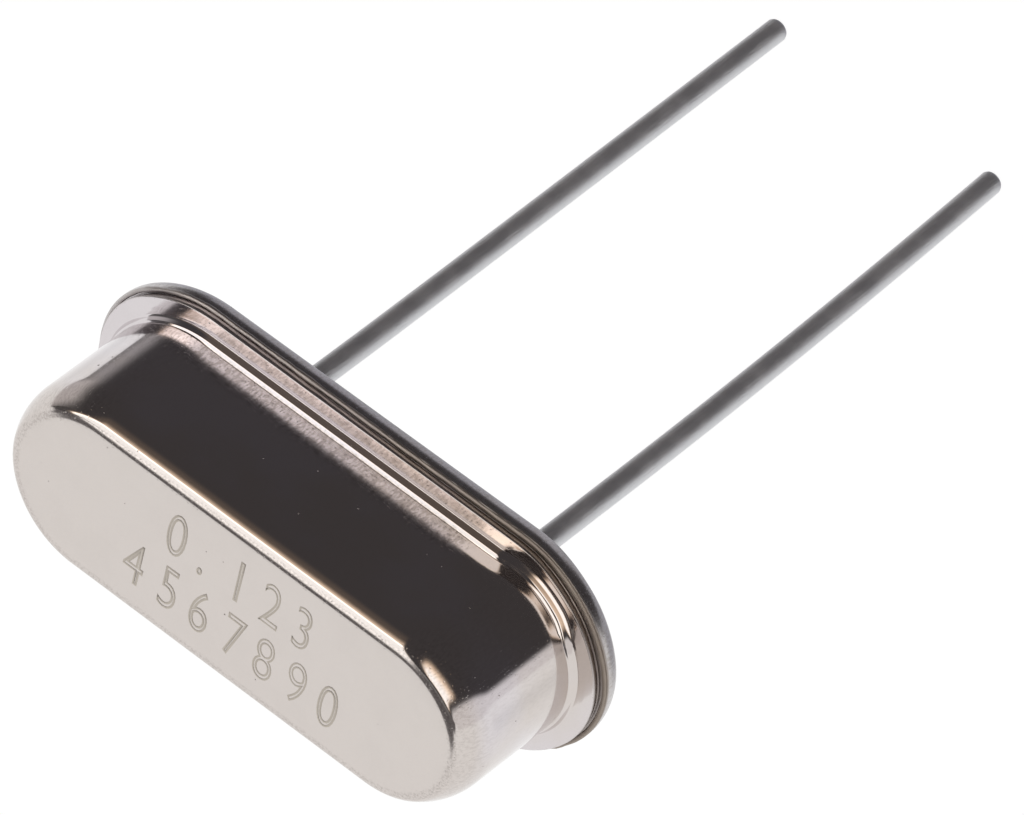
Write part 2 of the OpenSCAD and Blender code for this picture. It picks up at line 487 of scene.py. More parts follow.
class Section:
    """A pen that draws a section, as radius and height, to be swept round the can.

    Each method returns the pen, and steps is its number of edges.
    """

    def __init__(self, bm: BMesh, half_span: float, radius: float, height: float) -> None:
        """Puts the pen down.

        Args:
            bm: the mesh to draw in.
            half_span: distance from the middle to each end's centre.
            radius: the first point's radius.
            height: the first point's height.
        """
        self.bm = bm
        self.x = half_span
        self.heading = 0.0
        self.tip: BMVert = bmesh.ops.create_vert(bm, co=(half_span, -radius, height))["vert"][0]

    def line(self, radius: float, height: float, steps: int = 1) -> "Section":
        """Draws a straight line.

        Args:
            radius: its end's radius.
            height: its end's height.
            steps: its number of edges.

        Returns:
            The pen.
        """
        step = (Vector((self.x, -radius, height)) - self.tip.co) / steps
        self.heading = math.atan2(-step.z, -step.y)
        for _ in range(steps):
            self.tip = bmesh.ops.extrude_vert_indiv(self.bm, verts=[self.tip])["verts"][0]
            bmesh.ops.translate(self.bm, verts=[self.tip], vec=step)
        return self

    def ahead(self, length: float, steps: int = 1) -> "Section":
        """Draws a straight line of a given length onwards."""
        at, turn = self.tip.co, self.heading
        return self.line(length * math.cos(turn) - at.y, at.z - length * math.sin(turn), steps)

    def down_to(self, height: float) -> "Section":
        """Draws a straight line onwards and down to a height."""
        return self.ahead((self.tip.co.z - height) / math.sin(self.heading), 2)

    def bend(self, size: float, degrees: float, steps: int) -> "Section":
        """Draws an arc that goes on smoothly.

        Args:
            size: its radius.
            degrees: its sweep, positive where the metal bulges outwards.
            steps: its number of edges.

        Returns:
            The pen.
        """
        reach = -size if degrees > 0 else size
        at, turned = self.tip.co, self.heading + math.radians(degrees)
        self.arc(reach * math.sin(self.heading) - at.y, at.z + reach * math.cos(self.heading), degrees, steps)
        self.heading = turned
        return self

    def bend_to(self, radius: float, degrees: float, steps: int) -> "Section":
        """Draws an arc that goes on smoothly and ends at a given radius."""
        turn = math.sin(self.heading + math.radians(degrees)) - math.sin(self.heading)
        return self.bend(abs((radius + self.tip.co.y) / turn), degrees, steps)

    def arc(self, radius: float, height: float, degrees: float, steps: int) -> "Section":
        """Draws an arc.

        Args:
            radius: its centre's radius.
            height: its centre's height.
            degrees: its sweep, positive from up towards outwards.
            steps: its number of edges.

        Returns:
            The pen.
        """
        made = bmesh.ops.spin(
            self.bm, geom=[self.tip], cent=(self.x, -radius, height), axis=(1, 0, 0),
            angle=math.radians(degrees), steps=steps, use_duplicate=False,
        )
        self.tip = next(g for g in made["geom_last"] if isinstance(g, BMVert))
        return self


def round_the_can(bm: BMesh, half_span: float, end_steps: int, side_steps: int) -> None:
    """Sweeps the drawn section round both ends and along both sides, and closes it.

    Args:
        bm: the mesh that holds the section.
        half_span: distance from the middle to each end's centre.
        end_steps: segments round each end.
        side_steps: segments along each side.
    """
    geom = list(bm.verts) + list(bm.edges)
    for end in End:
        geom = bmesh.ops.spin(
            bm, geom=geom, cent=(end.value * half_span, 0, 0), axis=(0, 0, 1),
            angle=math.pi, steps=end_steps, use_duplicate=False,
        )["geom_last"]
        step = Vector((-end.value * 2 * half_span / side_steps, 0, 0))
        for _ in range(side_steps):
            made = bmesh.ops.extrude_edge_only(bm, edges=[g for g in geom if isinstance(g, BMEdge)])["geom"]
            moved = {g for g in made if isinstance(g, BMVert)}
            geom = [g for g in made if isinstance(g, BMEdge) and moved.issuperset(g.verts)]
            bmesh.ops.translate(bm, verts=list(moved), vec=step)
            geom += moved
    close(bm)


def close(bm: BMesh) -> None:
    """Merges a mesh's doubles and turns its faces outwards."""
    bmesh.ops.remove_doubles(bm, verts=bm.verts, dist=WELD)
    bmesh.ops.dissolve_degenerate(bm, edges=bm.edges, dist=WELD)
    bmesh.ops.recalc_face_normals(bm, faces=bm.faces)


def ripple(bm: BMesh, depth: float, length: float, seed: float) -> None:
    """Moves a mesh's points along their normals by a smooth random field.

    Args:
        bm: the mesh.
        depth: the greatest move.
        length: the field's wavelength.
        seed: where in the field the mesh lies.
    """
    bm.normal_update()
    start = Vector((seed, seed, seed))
    moves = [(v, v.normal * (depth * noise.noise(v.co / length + start))) for v in bm.verts]
    for vert, move in moves:
        vert.co += move


def paint(bm: BMesh, **masks: Callable[[Vector], float]) -> None:
    """Writes the masks that a finish reads on a mesh's points.

    Args:
        bm: the mesh.
        masks: each mask's name, and what gives its value at a point.
    """
    for name, value_at in masks.items():
        layer = bm.verts.layers.float.new(name)
        for vert in bm.verts:
            vert[layer] = value_at(vert.co)


def fade(value: float, low: float, high: float) -> float:
    """Steps smoothly from 0 at low to 1 at high."""
    t = min(1.0, max(0.0, (value - low) / (high - low)))
    return t * t * (3 - 2 * t)


def fade_mm(value: float, low: float, high: float) -> float:
    """Steps in the same way, with low and high in millimetres."""
    return fade(value / MM, low, high)


def put(name: str, data: bpy.types.ID) -> Object:
    """Links a new object to the scene."""
    made = bpy.data.objects.new(name, data)
    bpy.context.scene.collection.objects.link(made)
    return made


@dataclass
class Piece:
    """A finished object and what it stands for.

    Attributes:
        name: its name.
        slot: the record's material slot; it is not used.
        material: its material.
        stands_for: the CAD node that it replaces, if any.
    """

    name: str
    slot: str
    material: Material
    stands_for: str | None = None

    def finish(self, bm: BMesh, sharp: float = 40.0) -> None:
        """Args:
            bm: the mesh, which is freed.
            sharp: the angle in degrees past which an edge is sharp.
        """
        mesh = bpy.data.meshes.new(self.name)
        for face in bm.faces:
            face.smooth = True
        bm.normal_update()
        for edge in bm.edges:
            edge.smooth = len(edge.link_faces) == 2 and edge.calc_face_angle(0.0) < math.radians(sharp)
        bm.to_mesh(mesh)
        bm.free()
        mesh.materials.append(self.material)
        made = put(self.name, mesh)
        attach(made, "root")
        if self.stands_for:
            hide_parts(self.stands_for)
        log.info("%s: %d faces", self.name, len(mesh.polygons))


class Bend(NamedTuple):
    """A rounding: its radius, its turn in degrees, and its number of edges."""

    size: float
    degrees: float
    steps: int


class Shift(NamedTuple):
    """How a rim was welded: its move on X and Y at ends one and two, and how strongly it is cut short."""

    one: Pair
    two: Pair
    cut: float


@dataclass
class Can:
    """The drawn cover and the base that it is welded to.

    Attributes:
        wall, top: thickness of the drawn wall and of the can's top.
        crown_w: how far inside the top's edge the flat top starts to fall.
        crown, brow, shoulder: the roundings that follow, outwards and down.
        wall_turn, wall_steps: turn and edges of the rounding that ends at the wall.
        fuller: by what share the can is fuller on its far side.
        neck_h: how far over the flange the wall starts to neck in.
        neck: the bend there.
        root_in, root, root_out, foot: the roundings from the wall to the flange's flat.
        foot_h: height over the flat where the last one starts.
        step_h: height of the step that the welding ring left round the root.
        dished: how far the flange lies lower at the root than at its rim.
        sunk: how far its corner at end two is sunk.
        bend_r: inside rounding of the bend at the root.
        flange_out: how far the base's flange stands out from the wall.
        inset: how far the cover's flange stays inside that.
        flange_t: thickness of the cover's flange.
        rim_top, rim_foot: the roundings of its rim.
        rim_foot_h: height over the seam where the lower one starts.
        under, side: the roundings from the base's underside and up its rim.
        weld_r: rounding of the base's upper rim.
        bead_r, bead_out: radius of the weld bead, and how far it stands out past the cover's rim.
        platform_gap: clearance between platform and wall.
        platform_r: rounding of the platform's edge.
        seal_r: radius of the bores for the glass.
        ends, sides: segments round each end and along each side of the cover.
        base_ends: segments round each end of the base and its bead.
        cover_shift, base_shift, bead_shift: how each rim was welded out of place.
    """

    wall: float = 0.2 * MM
    top: float = 0.22 * MM
    crown_w: float = 0.25 * MM
    crown: Bend = Bend(12 * MM, 1.2, 6)
    brow: Bend = Bend(0.38 * MM, 13.8, 8)
    shoulder: Bend = Bend(0.18 * MM, 42, 12)
    wall_turn: float = 33.0
    wall_steps: int = 10
    fuller: float = 0.027
    neck_h: float = 0.75 * MM
    neck: Bend = Bend(4 * MM, 2.8, 6)
    root_in: Bend = Bend(0.028 * MM, -40.8, 8)
    root: Bend = Bend(0.14 * MM, -22, 10)
    root_out: Bend = Bend(0.04 * MM, 32, 8)
    foot: Bend = Bend(0.012 * MM, -61, 8)
    foot_h: float = 0.0064 * MM
    step_h: float = 0.006 * MM
    dished: float = 0.004 * MM
    sunk: float = 0.065 * MM
    bend_r: float = 0.34 * MM
    flange_out: float = 0.48 * MM
    inset: float = 0.084 * MM
    flange_t: float = 0.19 * MM
    rim_top: Bend = Bend(0.016 * MM, 100, 8)
    rim_foot: Bend = Bend(0.04 * MM, 50, 6)
    rim_foot_h: float = 0.045 * MM
    under: Bend = Bend(0.03 * MM, -48, 8)
    side: Bend = Bend(0.46 * MM, -42, 14)
    weld_r: float = 0.012 * MM
    bead_r: float = 0.045 * MM
    bead_out: float = 0.06 * MM
    platform_gap: float = 0.12 * MM
    platform_r: float = 0.1 * MM
    seal_r: float = 0.75 * MM
    ends: int = 140
    sides: int = 44
    base_ends: int = 96
    cover_shift: Shift = Shift((0.025 * MM, -0.015 * MM), (-0.045 * MM, -0.015 * MM), 1.0)
    base_shift: Shift = Shift((0.07 * MM, -0.005 * MM), (-0.118 * MM, -0.07 * MM), 0.75)
    bead_shift: Shift = Shift((0.05 * MM, -0.01 * MM), (-0.09 * MM, -0.045 * MM), 0.9)

    def __post_init__(self) -> None:
        """Takes the outer sizes from the CAD nodes."""
        low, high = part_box("cover")
        flange_r = high.y
        self.half_span = high.x - high.y
        self.can_r = flange_r - self.flange_out
        self.cavity_r = self.can_r - self.wall
        self.can_h = high.z
        self.seam_z = low.z
        self.rim_z = self.seam_z + self.flange_t
        self.flat_z = self.rim_z - self.dished
        self.rim_r = flange_r - self.inset
        base_low, base_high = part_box("base")
        self.base_r = base_high.y
        self.base_z = base_low.z
        self.platform_z = base_high.z

    def cover(self, material: Material) -> None:
        """Builds the drawn cover as one closed sheet.

        Args:
            material: its finish.
        """
        bm = bmesh.new()
        r, h, rim = self.can_r, self.can_h, self.rim_r
        inner_r = self.brow.size - self.wall
        ceiling = h - self.top
        neck_z = self.flat_z + self.neck_h
        pen = Section(bm, self.half_span, 0.0, h)
        pen.line(r - self.brow.size - self.crown_w, h, 10).bend(*self.crown).bend(*self.brow)
        pen.bend(*self.shoulder).bend_to(r, self.wall_turn, self.wall_steps)
        pen.line(r, neck_z + 0.02 * MM, 16).line(r, neck_z).bend(*self.neck)
        leaning = pen.tip.co.z - self.flat_z - self.step_h - self.root.size - self.root_in.size
        pen.ahead(leaning / math.cos(math.radians(self.neck.degrees)), 6)
        pen.bend(*self.root_in).bend(*self.root).bend(*self.root_out)
        pen.down_to(self.flat_z + self.foot_h).bend(*self.foot)
        pen.line(rim - 0.017 * MM, self.rim_z - 0.001 * MM, 10).bend(*self.rim_top)
        pen.down_to(self.seam_z + self.rim_foot_h).bend(*self.rim_foot)
        pen.line(rim - 0.1 * MM, self.seam_z, 2).line(self.cavity_r + self.bend_r, self.seam_z, 2)
        pen.arc(self.cavity_r + self.bend_r, self.seam_z + self.bend_r, 90, 10)
        pen.line(self.cavity_r, ceiling - inner_r, 4)
        pen.arc(self.cavity_r - inner_r, ceiling - inner_r, -90, 8).line(0.0, ceiling, 4)
        round_the_can(bm, self.half_span, self.ends, self.sides)
        paint(bm, drawn=self.stretch_at, seam=self.stain_at)
        for vert in bm.verts:
            if vert.co.z > self.flat_z + 0.1 * MM:
                vert.co.y *= 1 + self.fuller * fade(vert.co.y, 0.0, r)
        self.ease_ends(bm)
        self.settle(bm, (r + 0.16 * MM, rim - 0.05 * MM), self.cover_shift)
        ripple(bm, depth=0.0016 * MM, length=1.7 * MM, seed=3.1)
        Piece("cover_sheet", "cover_nickel", material, "cover").finish(bm)

    def reach(self, point: Vector) -> float:
        """Says how far a point lies from the line between the ends' centres."""
        return Vector((max(0.0, abs(point.x) - self.half_span), point.y, 0)).length

    def ease_ends(self, bm: BMesh) -> None:
        """Takes the neck and the root's step away round both ends, and sinks the flange at end two.

        Args:
            bm: the cover's mesh.
        """
        flat, half, r = self.flat_z, self.half_span, self.can_r
        for vert in bm.verts:
            at, reach = vert.co, self.reach(vert.co)
            if not flat <= at.z < flat + self.neck_h or reach < r - 0.6 * self.wall:
                continue
            end = fade_mm(abs(at.x) - half, -0.3, 0.8)
            low = 1 - fade(at.z - flat, 0.2 * MM, self.neck_h)
            if reach < r + 0.2 * MM:
                at.z -= end * low * min(self.step_h, at.z - flat)
            if at.x < -half and at.z < flat + 0.15 * MM:
                angle = math.degrees(math.atan2(at.y, -at.x - half))
                dip = fade(angle, -95, -75) * (1 - fade(angle, -50, -32))
                rise = max(0.0, min(1.0, (reach - r - 0.12 * MM) / (0.24 * MM)))
                at.z -= self.sunk * dip * (1 - rise)
            if at.z > flat + 0.12 * MM and reach < r:
                wide = 1 + end * (r / reach - 1)
                if abs(at.x) > half:
                    centre = math.copysign(half, at.x)
                    at.x = centre + (at.x - centre) * wide
                at.y *= wide

    def settle(self, bm: BMesh, where: Pair, shift: Shift) -> None:
        """Moves a rim as it was welded: off centre, and cut short along the far side.

        Args:
            bm: the mesh.
            where: the reach at which the move starts and is full.
            shift: the move.
        """
        for vert in bm.verts:
            at, share = vert.co, fade(self.reach(vert.co), *where)
            if share == 0.0 or at.z > self.rim_z + 0.1 * MM:
                continue
            end = 1 if at.x > 0 else -1
            past = max(0.0, abs(at.x) - self.half_span)
            angle = math.degrees(math.atan2(at.y, past))
            if end > 0:
                short = 0.17 * fade(angle, -48, 12) - 0.11 * fade(angle, 15, 90)
            else:
                near = fade(angle, -80, -55) * (1 - fade(angle, -35, 0))
                short = 0.04 * near + 0.035 * fade(angle, 0, 50)
            out = Vector((end * past, at.y, 0)).normalized()
            t = 0.5 + 0.5 * max(-1.0, min(1.0, at.x / self.half_span))
            one, two = Vector((*shift.one, 0)), Vector((*shift.two, 0))
            vert.co += share * (two + t * (one - two) - shift.cut * short * MM * out)

    def stain_at(self, point: Vector) -> float:
        """Says how stained the cover is: along its rim, and faintly over the root.

        Args:
            point: a point of the cover.

        Returns:
            0 for clean to 1 for the darkest.
        """
        up = point.z - self.flat_z
        low = fade_mm(up, 0.12, 0.16) * (1 - fade_mm(up, 0.22, 0.34))
        edge = fade_mm(self.reach(point) - self.rim_r, -0.012, -0.004)
        return max(0.6 * edge, 0.2 * low * self.stretch_at(point))

    def stretch_at(self, point: Vector) -> float:
        """Says how far the sheet was stretched in drawing, which leaves it rough.

        Args:
            point: a point of the cover.

        Returns:
            0 for smooth sheet to 1 for the roughest.
        """
        brow_r, half, along = self.can_r - self.brow.size, self.half_span, self.reach(point)
        up, under = point.z - self.rim_z, point.z - self.can_h
        past_end = fade_mm(abs(point.x) - half, -0.35, 0.5)
        near_top = fade_mm(under, -0.9, -0.1)
        off_top = fade(along, brow_r - 0.25 * MM, self.can_r - 0.05 * MM)
        edge = fade_mm(along - brow_r, -0.06, 0.04) * fade_mm(under, -0.06, -0.02)
        near_root = 1 - fade_mm(up, 0.38, 0.84)
        off_flat = fade_mm(up, 0.11, 0.17)
        left = 1 - fade_mm(-point.x - half, -1.0, -0.3)
        root = near_root * off_flat * (1 - 0.6 * past_end) * left
        ends = past_end * (0.16 + 0.2 * near_top) * off_flat
        rim = fade_mm(along - self.rim_r, -0.03, -0.008)
        return min(1.0, max(0.5 * edge, 0.3 * rim, off_top * (ends + root)))

    def base(self, material: Material) -> None:
        """Builds the base with its platform and the two bores.

        Args:
            material: its finish.
        """
        bm = bmesh.new()
        r, z, seam, top = self.base_r - 0.05 * MM, self.base_z, self.seam_z, self.platform_z
        edge = self.cavity_r - self.platform_gap
        inner = 0.9 * MM
        straight = math.cos(math.radians(self.side.degrees))
        start = r - self.side.size * (1 - straight) - self.under.size * straight
        pen = Section(bm, self.half_span, inner, z)
        pen.line(start - 0.01 * MM, z, 4).line(start, z).bend(*self.under).bend(*self.side)
        pen.line(r, seam - self.weld_r, 3).bend(self.weld_r, -90, 6)
        pen.line(edge, seam, 3).line(edge, top - self.platform_r, 2)
        pen.arc(edge - self.platform_r, top - self.platform_r, -90, 8).line(inner, top, 3)
        round_the_can(bm, self.half_span, self.base_ends, self.sides)
        rings = [e for e in bm.edges if e.is_boundary]
        for height in (z, top):
            loop = {e for e in rings if abs(e.verts[0].co.z - height) < WELD}
            for end in End:
                made = bmesh.ops.create_circle(bm, cap_ends=False, radius=self.seal_r, segments=64)["verts"]
                bmesh.ops.translate(bm, verts=made, vec=(LEADS.x(end), 0, height))
                loop |= {e for v in made for e in v.link_edges}
            bmesh.ops.triangle_fill(bm, edges=list(loop), use_beauty=True, use_dissolve=False)
        bores = [e for e in bm.edges if e.is_boundary]
        for end in End:
            bmesh.ops.bridge_loops(bm, edges=[e for e in bores if e.verts[0].co.x * end.value > 0])
        close(bm)

        def brown(point: Vector) -> float:
            """Says how brown the weld left the rim: more towards end two."""
            rim = fade_mm(self.reach(point) - self.rim_r, -0.1, 0.0)
            return (0.3 - 0.2 * point.x / self.base_r) * rim * fade_mm(point.z - seam, -0.06, 0.0)

        paint(bm, drawn=lambda point: 0.5, seam=brown)
        self.settle(bm, (edge + 0.02 * MM, start), self.base_shift)
        Piece("base_plate", "base_nickel", material, "base").finish(bm, sharp=30.0)

    def weld(self, material: Material) -> None:
        """Builds the uneven bead that the weld pressed out along the seam.

        Args:
            material: its finish.
        """
        bm = bmesh.new()
        edge, z = self.rim_r + self.bead_out, self.seam_z - 0.004 * MM
        Section(bm, self.half_span, edge, z).arc(edge - self.bead_r, z, 360, 16)
        bmesh.ops.remove_doubles(bm, verts=bm.verts, dist=WELD)
        round_the_can(bm, self.half_span, self.base_ends, 120)
        paint(bm, drawn=lambda point: 0.4, seam=lambda point: 0.6 - 0.12 * point.x / self.base_r)
        self.settle(bm, (0.0, self.can_r), self.bead_shift)
        ripple(bm, depth=0.012 * MM, length=0.35 * MM, seed=7.7)
        ripple(bm, depth=0.006 * MM, length=0.1 * MM, seed=1.3)
        Piece("weld_bead", "base_nickel", material).finish(bm)


@dataclass(frozen=True)
class Row:
    """One row of figures on the can's top, with its places in millimetres.

    Attributes:
        figures: the figures.
        foot: where on Y their feet stand.
        places: where on X each one stands.
    """

    figures: str
    foot: float
    places: tuple[float, ...]


@dataclass
class Marking:
    """Plain figures scribed on the can's top, each as the fine outline of its strokes.

    Attributes:
        rows: the rows of figures.
        width, height: those of a figure.
        font_width, font_height: those of the font's figures.
        line: radius of the scribed line.
        offset: how far it is moved off the strokes' edge.
        flat: the line's height as a share of its radius.
        proud: how far its burr stands over the top.
    """

    rows: tuple[Row, ...] = (
        Row("0.123", -0.13, (1.31, 0.75, -0.03, -0.73, -1.40)),
        Row("4567890", 1.07, (1.98, 1.23, 0.57, -0.17, -0.83, -1.53, -2.20)),
    )
    width: float = 0.42 * MM
    height: float = 0.93 * MM
    font_width: float = 0.46
    font_height: float = 0.7
    line: float = 0.023 * MM
    offset: float = -0.018 * MM
    flat: float = 0.08
    proud: float = 0.0018 * MM

    def outline(self, figure: str) -> bpy.types.Mesh:
        """Draws one figure's outline as a thin closed line, standing at the origin.

        Args:
            figure: the figure.

        Returns:
            Its mesh.
        """
        text = bpy.data.curves.new("figure", "FONT")
        text.body, text.align_x = figure, "CENTER"
        typed = put("figure", text)
        drawn = typed.to_curve(bpy.context.evaluated_depsgraph_get()).copy()
        drawn.transform(Matrix.Diagonal((self.width / self.font_width, self.height / self.font_height, 1, 1)))
        for point in (p for spline in drawn.splines for p in spline.bezier_points):
            point.radius = 1.0
        drawn.fill_mode, drawn.resolution_u = "NONE", 5
        drawn.bevel_depth, drawn.bevel_resolution, drawn.offset = self.line, 1, self.offset
        shape = put("outline", drawn)
        shown = shape.evaluated_get(bpy.context.evaluated_depsgraph_get())
        mesh = bpy.data.meshes.new_from_object(shown)
        mesh.transform(Matrix.Diagonal((1, 1, self.flat, 1)))
        for spare, block in ((typed, text), (shape, drawn)):
            bpy.data.objects.remove(spare)
            bpy.data.curves.remove(block)
        return mesh

    def scribe(self, top: float, material: Material) -> None:
        """Builds all the figures, sunk into the can's top but for their burr.

        Args:
            top: the height of the can's top.
            material: their finish.
        """
        bm = bmesh.new()
        for row in self.rows:
            for figure, place in zip(row.figures, row.places):
                before = len(bm.verts)
                mesh = self.outline(figure)
                level = top + self.proud - max(v.co.z for v in mesh.vertices)
                bm.from_mesh(mesh)
                bpy.data.meshes.remove(mesh)
                bm.verts.ensure_lookup_table()
                spot = Matrix.Translation((place * MM, row.foot * MM, level))
                turned = spot @ Matrix.Rotation(math.pi, 4, "Z")
                bmesh.ops.transform(bm, matrix=turned, verts=bm.verts[before:])
        bmesh.ops.recalc_face_normals(bm, faces=bm.faces)
        Piece("scribed_figures", "cover_nickel", material).finish(bm, sharp=80.0)


class Bow(NamedTuple):
    """How a wire is bent, in millimetres: near the base, at its tip, and where and how fast that starts."""

    near: float
    tip: float
    start: float
    power: float


@dataclass
class Leads:
    """The two tinned wires and the glass rings that hold them.

    Attributes:
        radius: radius of a wire with its tin.
        tin: thickness of the tin.
        bevel: bevel round each cut tip.
        blunt: where on the bevel its first ring lies, as a share of it.
        settled: depth below the base at which the bend near it is complete.
        head_t: thickness of the flattened head.
        recess: how far the glass stays above the seating plane.
        dish: depth of the hollow in the glass.
        bow_one, bow_two: how lead 1 and lead 2 are bent.
        steps, around: segments along each wire and round it.
    """

    radius: float = 0.215 * MM
    tin: float = 0.01 * MM
    bevel: float = 0.06 * MM
    blunt: float = 0.3
    settled: float = 1.8 * MM
    head_t: float = 0.12 * MM
    recess: float = 0.03 * MM
    dish: float = 0.05 * MM
    bow_one: Bow = Bow(-0.056, 0.1, 3.0, 1.3)
    bow_two: Bow = Bow(-0.085, 0.24, 4.0, 1.8)
    steps: int = 150
    around: int = 40

    def __post_init__(self) -> None:
        """Takes the places from the CAD nodes."""
        low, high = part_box("lead_1")
        self.pitch = low.x + high.x
        self.head_r = (high.x - low.x) / 2
        self.head_z = high.z - self.head_t
        self.tip_z = low.z
        seal_low, seal_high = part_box("glass_seal_1")
        self.seal_r = (seal_high.x - seal_low.x) / 2
        self.seal_z = seal_high.z
        self.bare = self.radius - self.tin

    def x(self, end: End) -> float:
        """Says where on X a lead stands."""
        return end.value * self.pitch / 2

    def number(self, end: End) -> int:
        """Says which lead stands at an end."""
        return 1 if end is End.ONE else 2

    def lean(self, end: End, z: float) -> Vector:
        """Says how far a wire is bent aside at a height.

        Args:
            end: which wire.
            z: the height.

        Returns:
            The offset.
        """
        bow = self.bow_one if end is End.ONE else self.bow_two
        past = max(0.0, (z + bow.start * MM) / (self.tip_z + bow.start * MM))
        aside = bow.near * MM * fade(-z, 0.0, self.settled) + bow.tip * MM * past ** bow.power
        return Vector((aside, 0.0, 0.0))

    def wire(self, end: End, material: Material) -> None:
        """Builds one lead, from its cut tip to its flattened head.

        Args:
            end: which end of the can.
            material: its finish.
        """
        bm = bmesh.new()
        x, r, tip = self.x(end), self.radius, self.tip_z
        now, foot = r - self.bevel, tip + self.bevel
        stops = [(r - self.blunt * self.bevel, tip + self.blunt * self.bevel)]
        stops += [(r, foot - foot * i / self.steps) for i in range(self.steps + 1)]
        stops += [(self.bare, 0.0), (self.bare, self.head_z)]
        stops += [(self.head_r, self.head_z), (self.head_r, self.head_z + self.head_t)]
        ring = bmesh.ops.create_circle(bm, cap_ends=True, radius=now, segments=self.around)["verts"]
        bmesh.ops.translate(bm, verts=ring, vec=(x, 0, tip))
        edges = list({e for v in ring for e in v.link_edges})
        for radius, z in stops:
            out = bmesh.ops.extrude_edge_only(bm, edges=edges)["geom"]
            ring = [g for g in out if isinstance(g, BMVert)]
            edges = [g for g in out if isinstance(g, BMEdge) and all(v in ring for v in g.verts)]
            wider = (radius / now, radius / now, 1)
            bmesh.ops.scale(bm, verts=ring, vec=wider, space=Matrix.Translation((-x, 0, 0)))
            bmesh.ops.translate(bm, verts=ring, vec=(0, 0, z - ring[0].co.z))
            now = radius
        bmesh.ops.contextual_create(bm, geom=edges)
        close(bm)
        for vert in bm.verts:
            if vert.co.z < 0:
                vert.co += self.lean(end, vert.co.z)
        name = f"lead_{self.number(end)}"
        Piece(f"{name}_wire", "lead_tin", material, name).finish(bm, sharp=50.0)

    def seal(self, end: End, material: Material) -> None:
        """Builds one ring of sealing glass.

        Args:
            end: which end of the can.
            material: its finish.
        """
        bm = bmesh.new()
        inner, half = self.bare, (self.seal_r - self.bare) / 2
        hollow_r = (half ** 2 + self.dish ** 2) / (2 * self.dish)
        pen = Section(bm, self.x(end), inner, self.recess)
        sweep = 2 * math.degrees(math.asin(half / hollow_r))
        pen.arc(inner + half, self.recess + self.dish - hollow_r, sweep, 24)
        pen.line(self.seal_r, self.seal_z, 4).line(inner, self.seal_z, 6).line(inner, self.recess, 4)
        bmesh.ops.spin(
            bm, geom=list(bm.verts) + list(bm.edges), cent=(self.x(end), 0, 0), axis=(0, 0, 1),
            angle=math.tau, steps=72, use_merge=True, use_duplicate=False,
        )
        close(bm)
        name = f"glass_seal_{self.number(end)}"
        Piece(f"{name}_ring", "seal_glass", material, name).finish(bm)


LEADS = Leads()


# ---------------------------------------------------------------- studio


@dataclass(frozen=True)
class Panel:
    """A soft-edged light or patch of the studio, placed on a flattened half of the sky.

    Attributes:
        across: where it starts and ends sideways.
        up: where it starts and ends upwards.
        soft: half the width of its soft edges, sideways and upwards.
        colour: its light.
    """

    across: Pair
    up: Pair
    soft: Pair
    colour: Colour

    def over(self, w: Wiring, u: Socket, v: Socket, under: Socket) -> Socket:
        """Lays the panel over a colour.

        Args:
            w: the world's wiring.
            u: the place sideways.
            v: the place upwards.
            under: the colour behind it.

        Returns:
            The colour with the panel on it.
        """
        inside = []
        for at, (start, end), soft in ((u, self.across, self.soft[0]), (v, self.up, self.soft[1])):
            inside.append(w.ramp(at, start - soft, start + soft))
            inside.append(w.ramp(at, end + soft, end - soft))
        return w.blend(w.times(*inside), under, self.colour)


LAMP = (1.6, 1.58, 1.56, 1)
WARM_EDGE = (1.5, 1.15, 0.85, 1)


